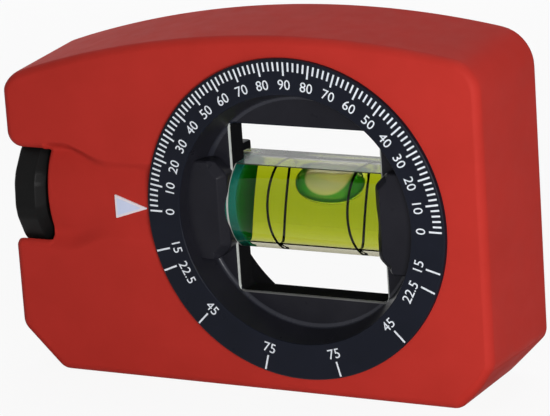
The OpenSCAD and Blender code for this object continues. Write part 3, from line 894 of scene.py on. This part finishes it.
def build_body():
    body = scratch(drafted(plate(body_path(), front_y, rear_y)))
    middle, half_len = (GUIDE_START + GUIDE_END) / 2, (GUIDE_END - GUIDE_START) / 2
    guide = rectangle_path(middle, DIAL_Z, half_len, GUIDE_HALF_H)
    cut(body, rod(SLOT_R, LEFT_X - PAST, SLOT_X, 128), rod(BUSH_BORE_R, NOTCH_X - PAST, BUSH_END),
        rod(CHAMBER_R, BUSH_END - TINY, CHAMBER_END), slab(guide, -GUIDE_HALF_W, GUIDE_HALF_W, SHARP, SHARP),
        slab(cover_path(0, 0), COVER_Y, HALF_T + PAST, SHARP, SHARP),
        *[post(CUP_R, x, -PAST, CUP_TOP) for x in MAGNET_XS])
    made = piece("body_shell_visual", body, RED, "body", ["body_shell"])
    # Painted shade: the sloped corners get the red copy without its reflection.
    paint(made, RED_SLOPE_SHADE, on_slope)


def build_rear_cover():
    cover = scratch(plate(cover_path(COVER_GAP, COVER_EDGE_R), lambda x, z: COVER_Y, rear_y))
    for x, z in COVER_SCREWS:
        cut(cover, pin(COVER_HEAD_R, HALF_T - COVER_HEAD_T, HALF_T + PAST, x, z, 48),
            pin(COVER_HOLE_R, COVER_Y - PAST, HALF_T, x, z, 32))
    piece("rear_cover_visual", cover, RED, "body", ["rear_cover"])


def pointer_layer(side, inset, edge, low, high):
    """A slab of the pointer between two distances from the body's middle plane, drawn in by inset."""
    base = POINTER_TIP - POINTER_LEN
    half = POINTER_W / 2
    inscribed = POINTER_LEN * half / (half + math.hypot(POINTER_LEN, half))
    scale = 1 - inset / inscribed
    middle = Vector((base + inscribed, DIAL_Z))
    corners = []
    for corner in ((POINTER_TIP, DIAL_Z), (base, DIAL_Z + half), (base, DIAL_Z - half)):
        spot = middle + (Vector(corner) - middle) * scale
        corners.append((spot.x, spot.y, POINTER_CORNER_R, edge))
    path = rounded_path(corners)
    if side < 0:
        return slab(path, -high, -low, QUARTER_ROUND, SHARP)
    return slab(path, low, high, SHARP, QUARTER_ROUND)


def build_pointer(side):
    """White index with a light border, on the front (side -1) or the rear (side 1)."""
    name = "front_pointer" if side < 0 else "rear_pointer"
    low, high = HALF_T - POINTER_DEPTH, HALF_T + POINTER_PROUD
    border = scratch(pointer_layer(side, 0, POINTER_EDGE_R, low, high - POINTER_STEP))
    add(border, pointer_layer(side, POINTER_BORDER, 0, high - POINTER_DEPTH / 2, high))
    made = piece(name + "_visual", border, POINTER_RIM, "body", [name])
    paint(made, WHITE, lambda middle: abs(middle.y) > high - POINTER_STEP / 2)


# Blocks and window of the dial

def block_path(side, edge):
    """One of the two blocks that hold the vial, on the right (side 1) or the left (side -1)."""
    soft, side_edge = BLOCK_CORNER_R, BLOCK_SIDE_EDGE_R
    bevelled = BLOCK_IN + BLOCK_CUT
    corners = [(BLOCK_IN, BLOCK_CUT - BLOCK_HALF, soft, edge), (bevelled, -BLOCK_HALF, soft, side_edge),
               (BLOCK_OUT, -BLOCK_HALF, 0, side_edge), (BLOCK_OUT, BLOCK_HALF, 0, side_edge),
               (bevelled, BLOCK_HALF, soft, edge), (BLOCK_IN, BLOCK_HALF - BLOCK_CUT, soft, edge)]
    placed = [(DIAL_X + side * u, DIAL_Z + side * v, r, e) for u, v, r, e in corners]
    return rounded_path(placed, spacing=2.0)


def window_path(grow_w=0.0, grow_h=0.0):
    half_w, half_h = WINDOW_W / 2 + grow_w, WINDOW_H / 2 + grow_h
    return rectangle_path(DIAL_X, DIAL_Z, half_w, half_h, WINDOW_R, spacing=2.0)


def rear_window(low_y, high_y):
    """The cutting shape of the larger window behind the narrow part."""
    path = window_path(WINDOW_SIDE, WINDOW_STEP)
    return loft([[(p.x, y, p.y) for p, _, _ in path] for y in (low_y, high_y)])


def flared_window():
    """The cutting shape of the window in the dish's floor, which widens towards the front."""
    path = window_path()
    loops = [[(p.x, PAST, p.y) for p, _, _ in path]]
    for inset, drop in QUARTER_ROUND:
        flare, y = WINDOW_EDGE_R * inset, FLOOR_Y + WINDOW_EDGE_R * drop
        loops.append([(p.x + n.x * flare, y, p.y + n.y * flare) for p, n, _ in path])
    loops.append([(x, FLOOR_Y - PAST, z) for x, _, z in loops[-1]])
    return loft(loops)


def from_axis(point):
    """Distance of a point from the dial's axis."""
    return math.hypot(point.x - DIAL_X, point.z - DIAL_Z)


# Tests of a face's middle, each for the part of the dial that it names

def on_window_edge(middle):
    """The rounded front edge of the window, at its sides and its foot."""
    past_side = abs(middle.x - DIAL_X) - WINDOW_W / 2
    past_foot = DIAL_Z - middle.z - WINDOW_H / 2
    return (HAIR < middle.y - FLOOR_Y < WINDOW_EDGE_R - HAIR
            and -NEAR < max(past_side, past_foot) < WINDOW_EDGE_R)


def on_window_foot(middle):
    """The rounded front edge at the window's foot."""
    return on_window_edge(middle) and DIAL_Z - middle.z > WINDOW_H / 2 - NEAR


def on_window_wall(middle):
    """The walls of the window, behind its front edge."""
    past_side = abs(middle.x - DIAL_X) - WINDOW_W / 2
    past_end = abs(middle.z - DIAL_Z) - WINDOW_H / 2
    behind_edge = middle.y >= FLOOR_Y + WINDOW_EDGE_R
    in_reach = past_side <= WINDOW_SIDE + TINY and past_end <= WINDOW_STEP + TINY
    at_wall = max(past_side, past_end) > -2 * TINY or min(past_side, past_end) > -WINDOW_R
    return behind_edge and in_reach and at_wall


def on_rear_cone(middle):
    """The cone of the rear dish and the fillet at its foot."""
    in_depth = REAR_WEB_T < middle.y < FACE_Y - REAR_RIM_DROP
    return in_depth and REAR_DISH_R - REAR_FILLET_IN < from_axis(middle) < REAR_RIM_R


def in_dish(middle):
    """The cone and the floor of the dish inside the ring."""
    return RING_DROP < middle.y + FACE_Y < DISH_DEPTH + HAIR and from_axis(middle) < RING_IN_R


def on_dish_fillet(middle):
    """The fillet between the dish's floor and its cone."""
    in_height = HAIR < FLOOR_Y - middle.y < DISH_FILLET_IN
    return in_height and -DISH_FILLET_IN < from_axis(middle) - DISH_FLOOR_R < DISH_FILLET_OUT


# Dial halves

def vial_loop(x, grow=0.0):
    """The vial's cross-section at x: flat above and below, rounded in front and behind."""
    shift = VIAL_HALF_T - VIAL_FACE_R
    r = VIAL_FACE_R + grow
    reach = math.asin((VIAL_HALF_H + grow) / r)
    corners = []
    for side in (1, -1):
        for k in range(VIAL_FACE_STEPS + 1):
            a = reach * (2 * k / VIAL_FACE_STEPS - 1)
            soft = VIAL_EDGE_R if k in (0, VIAL_FACE_STEPS) else 0.0
            corners.append((side * (r * math.cos(a) + shift), side * r * math.sin(a), soft, 0.0))
    return [(DIAL_X + x, p.x, DIAL_Z + p.y) for p, _, _ in rounded_path(corners, spacing=VIAL_LEN)]


def vial_seat():
    half = VIAL_LEN / 2 + VIAL_GAP
    return loft([vial_loop(x, VIAL_GAP) for x in (-half, half)])


def dial_half(side, floor_r, floor_y, rim_r, fillet_r):
    """Half of the dial before its window and blocks, on the front (side -1) or the rear (side 1)."""
    face, seat = side * (FACE_Y - PRINT_T), side * SEAT_Y
    profile = [(floor_r - FLOOR_RING, floor_y), (floor_r, floor_y), (rim_r, face), (DIAL_R, face),
               (DIAL_R, seat), (HUB_R, seat), (HUB_R, 0)]
    for radius, corner in ((RIM_EDGE_R, 3), (RING_EDGE_R, 2), (fillet_r, 1)):
        profile = rounded(profile, radius, corner)
    return scratch(turned(profile))


def build_dial_front():
    dial = dial_half(-1, DISH_FLOOR_R, FLOOR_Y, RING_IN_R, DISH_FILLET_R)
    cut(dial, flared_window())
    for side in (-1, 1):
        add(dial, slab(block_path(side, BLOCK_BEVEL), BLOCK_SINK - FACE_Y, 0, EASED_BEVEL, SHARP))
    cut(dial, rear_window(FLOOR_Y + WINDOW_LIP, PAST), vial_seat())
    made = piece("dial_front_visual", dial, DIAL_BLACK, "dial", ["dial_front"])
    # Painted sheen: the dish's cone and floor get the lighter black.
    paint(made, DISH_SHEEN_BLACK, in_dish)
    # Painted highlight along the fillet at the dish's foot.
    paint(made, DISH_FILLET_HIGHLIGHT, on_dish_fillet)
    # Painted shade on the window's walls.
    paint(made, WINDOW_WALL_SHADE, on_window_wall)
    # Painted highlight on the window's front edge at its sides and foot.
    paint(made, EDGE_HIGHLIGHT, on_window_edge)
    # A weaker painted highlight on the window's foot.
    paint(made, DIM_EDGE_HIGHLIGHT, on_window_foot)


def build_dial_rear():
    dial = dial_half(1, REAR_DISH_R, REAR_WEB_T, REAR_RIM_R, REAR_FILLET_R)
    for side in (-1, 1):
        add(dial, slab(block_path(side, REAR_BLOCK_EDGE_R), 0, REAR_BLOCK_H, SHARP, QUARTER_ROUND))
    cut(dial, rear_window(-PAST, FACE_Y), vial_seat())
    for u, v in DIAL_SCREWS:
        x, z = DIAL_X + u, DIAL_Z + v
        cut(dial, pin(DIAL_HEAD_R, DIAL_HEAD_Y, FACE_Y, x, z, 40),
            pin(DIAL_HOLE_R, -PAST, DIAL_HEAD_Y + OVERLAP, x, z, 32))
    made = piece("dial_rear_visual", dial, DIAL_BLACK, "dial", ["dial_rear"])
    # Painted shade on the rear window's walls and the rear dish's cone.
    paint(made, WINDOW_WALL_SHADE, lambda middle: on_window_wall(middle) or on_rear_cone(middle))


# Scale

def on_face(side, u, v, height):
    """A point of the dial's front (side -1) or rear (side 1) face, u to the reader's right and v up."""
    return (DIAL_X - side * u, side * (FACE_Y - PRINT_T + height), DIAL_Z + v)


def print_bar(side, angle, outer, length):
    """A radial tick of printed paint."""
    near, far = polar(outer - length, angle), polar(outer, angle)
    across = polar(TICK_W / 2, angle + 90)
    corners = [near - across, far - across, far + across, near + across]
    return loft([[on_face(side, p.x, p.y, h) for p in corners] for h in (-PRINT_T, PRINT_T)])


def number_shape(text):
    """A number in the built-in font, NUMBER_H high and centred, with a face above 0 and one below."""
    curve = bpy.data.curves.new("number", "FONT")
    curve.body = text
    curve.align_x = "CENTER"
    curve.extrude = 0.5
    curve.resolution_u = 3
    holder = new_object("number", curve)
    mesh = evaluated_mesh(holder)
    bpy.data.objects.remove(holder)
    bpy.data.curves.remove(curve)
    points = [v.co.copy() for v in mesh.vertices]
    faces = [list(face.vertices) for face in mesh.polygons]
    bpy.data.meshes.remove(mesh)
    low, high = min(p.y for p in points), max(p.y for p in points)
    scale = NUMBER_H / (high - low)
    middle = (low + high) / 2
    return [Vector((p.x * scale, (p.y - middle) * scale, p.z)) for p in points], faces


def print_number(side, text, angle, inward=False):
    """A printed number at an angle, its top outwards, or inwards if inward."""
    points, faces = number_shape(text)
    turn = angle + (90 if inward else -90)
    right, up = polar(1, turn), polar(1, turn + 90)
    shape = []
    for p in points:
        spot = polar(NUMBER_R, angle) + right * p.x + up * p.y
        shape.append(on_face(side, spot.x, spot.y, PRINT_T if p.z > 0 else -PRINT_T))
    return shape, faces


def build_scale(side):
    """White graduations on the front ring (side -1), and ticks on the narrow rear rim (side 1)."""
    front = side < 0
    long_tick, short_tick = (TICK_LONG, TICK_SHORT) if front else (REAR_TICK_LONG, REAR_TICK_SHORT)
    shapes = []
    for angle in range(0, 181, TICK_STEP):
        numbered = angle % NUMBER_STEP == 0
        shapes.append(print_bar(side, angle, TICK_OUT_R, long_tick if numbered else short_tick))
        if front and numbered:
            shapes.append(print_number(side, str(min(angle, 180 - angle)), angle))
    for below, label, text in LOWER_MARKS:
        for angle, spot in ((180 + below, 180 + label), (360 - below, 360 - label)):
            shapes.append(print_bar(side, angle, LOWER_TICK_OUT_R, LOWER_TICK_LEN if front else long_tick))
            if front:
                shapes.append(print_number(side, text, spot, inward=True))
    name = "front_scale" if front else "rear_scale"
    piece(name, scratch(join(*shapes)), PRINT, "dial")


# Vial

def on_vial_edge(middle):
    """Whether a face lies on one of the vial's four long edges."""
    return 2 * HAIR < VIAL_HALF_H - abs(middle.z - DIAL_Z) < VIAL_EDGE_DROP


def build_vial():
    half = VIAL_LEN / 2
    grip = WINDOW_W / 2
    sections = [(-half, -VIAL_END_EASE), (VIAL_END_EASE - half, 0)]
    sections += [(end + step, 0) for end in (-grip, grip) for step in (-GRIP_LINE, GRIP_LINE)]
    sections += [(half - VIAL_END_EASE, 0), (half, -VIAL_END_EASE)]
    block = scratch(loft([vial_loop(x, grow) for x, grow in sections]))
    made = piece("vial_body_visual", block, ACRYLIC, "dial", ["vial_body"])
    # The top face gets the satin grey, partly a painted reflection.
    paint(made, FROSTED_TOP_REFLECTION, lambda middle: middle.z > DIAL_Z + VIAL_HALF_H - TINY)
    # Painted shade on the vial's four long edges.
    paint(made, VIAL_EDGE_SHADE, on_vial_edge)
    # Painted highlight: a thin light band round the front of the vial where it enters the left block.
    paint(made, EDGE_HIGHLIGHT, lambda middle: middle.y < 0 and abs(DIAL_X - middle.x - grip) < NEAR)
    liquid = scratch(rod(LIQUID_R, DIAL_X - LIQUID_LEN / 2, DIAL_X + LIQUID_LEN / 2, 128))
    piece("vial_liquid_visual", liquid, LIQUID, "dial", ["vial_liquid"])


def bubble_reach(direction):
    """How far the bubble reaches from its inner point: up to the bore, and down to a rounded floor."""
    inner = (BUBBLE_R + BUBBLE_BASE) / 2
    low, high = 0.0, BUBBLE_LEN
    halvings = 40
    for _ in range(halvings):
        reach = (low + high) / 2
        x, y, z = direction * reach + Vector((0, 0, inner))
        bore = (y * y + z * z) / BUBBLE_R ** 2
        drop = (abs(2 * x / BUBBLE_LEN) ** BUBBLE_END_POWER + (y / BUBBLE_HALF_W) ** 2
                + ((BUBBLE_MIDDLE - z) / (BUBBLE_MIDDLE - BUBBLE_BASE)) ** 2)
        if bore ** BUBBLE_RIM_POWER + drop ** BUBBLE_RIM_POWER < 1:
            low = reach
        else:
            high = reach
    return direction * low + Vector((DIAL_X + BUBBLE_X, 0, DIAL_Z + inner))


def build_bubble():
    """Air bubble under the top of the bore."""
    rings, spokes = 40, 56
    loops = []
    for k in range(1, rings):
        along, r = polar(1, 180 * k / rings)
        directions = [Vector((-along, u, v)) for u, v in circle(r, spokes)]
        loops.append([tuple(bubble_reach(direction)) for direction in directions])
    bubble = scratch(loft(loops))
    piece("vial_bubble_visual", bubble, BUBBLE, "bubble", ["vial_bubble"], smooth=80.0)


# Lock wheel

def wheel_path():
    """The wheel's outline in Y and Z: wide flats with narrow flats between them."""
    step = 360 / WHEEL_FLATS
    corners = []
    for i in range(WHEEL_FLATS):
        middle = i * step + WHEEL_TURN + 180
        for offset in (-step / 3, step / 3):
            corners.append((*polar(WHEEL_R, -middle - offset), WHEEL_SOFT_R, 0.0))
    return rounded_path(corners[::-1], spacing=6.0, arc_steps=24)


def build_wheel():
    path = wheel_path()
    sections = [(WHEEL_IN_X - along, inset) for along, inset in WHEEL_INNER_RIM]
    sections += [(WHEEL_OUT_X + along, inset) for along, inset in WHEEL_OUTER_RIM]
    loops = []
    for x, inset in sections:
        spots = [point * ((WHEEL_R - inset) / WHEEL_R) for point, _, _ in path]
        loops.append([(x, spot.x, DIAL_Z + spot.y) for spot in spots])
    wheel = scratch(loft(loops))
    add(wheel, rod(JOURNAL_R, WHEEL_IN_X - PAST, JOURNAL_END))
    cut(wheel, loft([rod_loop(r, WHEEL_OUT_X + depth) for r, depth in WHEEL_DISH]),
        rod(INSERT_BORE_R, WHEEL_OUT_X - PAST, JOURNAL_END + PAST))
    piece("lock_wheel_visual", wheel, WHEEL_BLACK, "wheel", ["lock_wheel"], smooth=20.0)


# Nodes that keep their solids

SOLID_WELD = 0.001
EASE_ANGLE = 40.0


def dress(node, material, edge):
    """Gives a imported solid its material, and eases its edges by a modifier."""
    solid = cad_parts[node]
    solid.data.materials.clear()
    solid.data.materials.append(material)
    solid.modifiers.new("weld", "WELD").merge_threshold = SOLID_WELD * MM
    if edge:
        ease = solid.modifiers.new("ease", "BEVEL")
        ease.width = edge * MM
        ease.segments = 2
        ease.limit_method = "ANGLE"
        ease.angle_limit = math.radians(EASE_ANGLE)
    solid.modifiers.new("normals", "WEIGHTED_NORMAL").keep_sharp = True


# Material, width of the eased edges in millimetres, and nodes
DRESSED = (
    (COVER_SCREW, 0.08, "cover_screws"), (DIAL_SCREW, 0.06, "dial_screws"),
    (RUBBER, 0, "front_friction_ring", "rear_friction_ring"), (RUBBER, 0.1, "brake_pad"),
    (PLUG, 0, "vial_plug_left", "vial_plug_right"), (LINE, 0, "level_lines"),
    (BRASS, 0.1, "wheel_insert", "wheel_bush"), (NYLON, 0.06, "thrust_washer"),
    (STEEL, 0.05, "wheel_clip"), (STEEL, 0.25, "lock_screw"), (SHOE, 0.2, "brake_shoe"),
    (NICKEL, 0.2, "magnet_left", "magnet_middle", "magnet_right"),
    (STEEL, 0.12, "magnet_cup_left", "magnet_cup_middle", "magnet_cup_right"))


# Stage, lights and camera

def background_rays(tree):
    """1 for rays that show the background: from the camera, off a gloss or through a clear piece."""
    rays = tree.nodes.new("ShaderNodeLightPath").outputs
    seen = rays["Is Camera Ray"]
    for kind in ("Is Glossy Ray", "Is Transmission Ray"):
        seen = calculate(tree, "MAXIMUM", seen, rays[kind])
    return seen


def build_floor():
    """Plain white floor under the part, which keeps part of its shadow."""
    floor = scratch(([(u * FLOOR_HALF, v * FLOOR_HALF, 0) for u, v in QUADRANTS], [[0, 1, 2, 3]]))
    floor.name = "floor"
    floor.data.transform(Matrix.Scale(MM, 4))
    nodes = Nodes("floor_paper")
    paper = nodes.tones(nodes.noise(40.0, 3.0), grey(0.54), grey(0.57))
    fill(nodes.shader, Base_Color=paper, Roughness=0.9)
    share = calculate(nodes.tree, "MULTIPLY", background_rays(nodes.tree), FLOOR_WHITE)
    mix_shaders(nodes.tree, share, nodes.shader, nodes.new("Emission"), "Material Output")
    floor.data.materials.append(nodes.material)


def build_world():
    """Soft light from all round, seen as white."""
    world = bpy.data.worlds.new("studio")
    world.use_nodes = True
    tree = world.node_tree
    light = tree.nodes["Background"]
    white = tree.nodes.new("ShaderNodeBackground")
    fill(light, Color=(1, 1, 1, 1), Strength=WORLD_LIGHT)
    fill(white, Color=(1, 1, 1, 1))
    mix_shaders(tree, background_rays(tree), light, white, "World Output")
    bpy.context.scene.world = world


def build_lamp(name, position, size, power, mirrored):
    """Soft square lamp. It never shows through clear pieces, and in gloss only if mirrored."""
    light = bpy.data.lights.new(name, "AREA")
    light.shape = "SQUARE"
    light.size = size * MM
    light.energy = power
    lamp = new_object(name, light)
    lamp.location = Vector(position) * MM
    lamp.rotation_euler = (Vector(LAMP_TARGET) - Vector(position)).to_track_quat("-Z", "Y").to_euler()
    lamp.visible_glossy = mirrored
    lamp.visible_transmission = False


def build_camera():
    turn = Matrix()
    for angle, axis in ((AZIMUTH, "Z"), (90 - ELEVATION, "X"), (ROLL, "Z")):
        turn = turn @ Matrix.Rotation(math.radians(angle), 4, axis)
    place = Vector((DIAL_X, -FACE_Y, DIAL_Z)) + turn @ Vector((CAMERA_RIGHT, CAMERA_UP, CAMERA_DISTANCE))
    data = bpy.data.cameras.new("camera")
    data.sensor_width = SENSOR_W
    data.sensor_fit = "HORIZONTAL"
    data.lens = FOCAL_PX / IMAGE_W * SENSOR_W
    data.clip_start = CLIP_START * MM
    data.clip_end = CLIP_END * MM
    camera = new_object("camera", data)
    camera.matrix_world = Matrix.Translation(place * MM) @ turn
    bpy.context.scene.camera = camera


build_body()
build_rear_cover()
build_dial_front()
build_dial_rear()
build_vial()
build_bubble()
build_wheel()
for side in (-1, 1):
    build_pointer(side)
    build_scale(side)
for material, edge, *nodes in DRESSED:
    for node in nodes:
        dress(node, material, edge)
build_floor()
build_world()
for lamp in LAMPS:
    build_lamp(*lamp)
build_camera()
bpy.context.scene.view_settings.view_transform = "Standard"
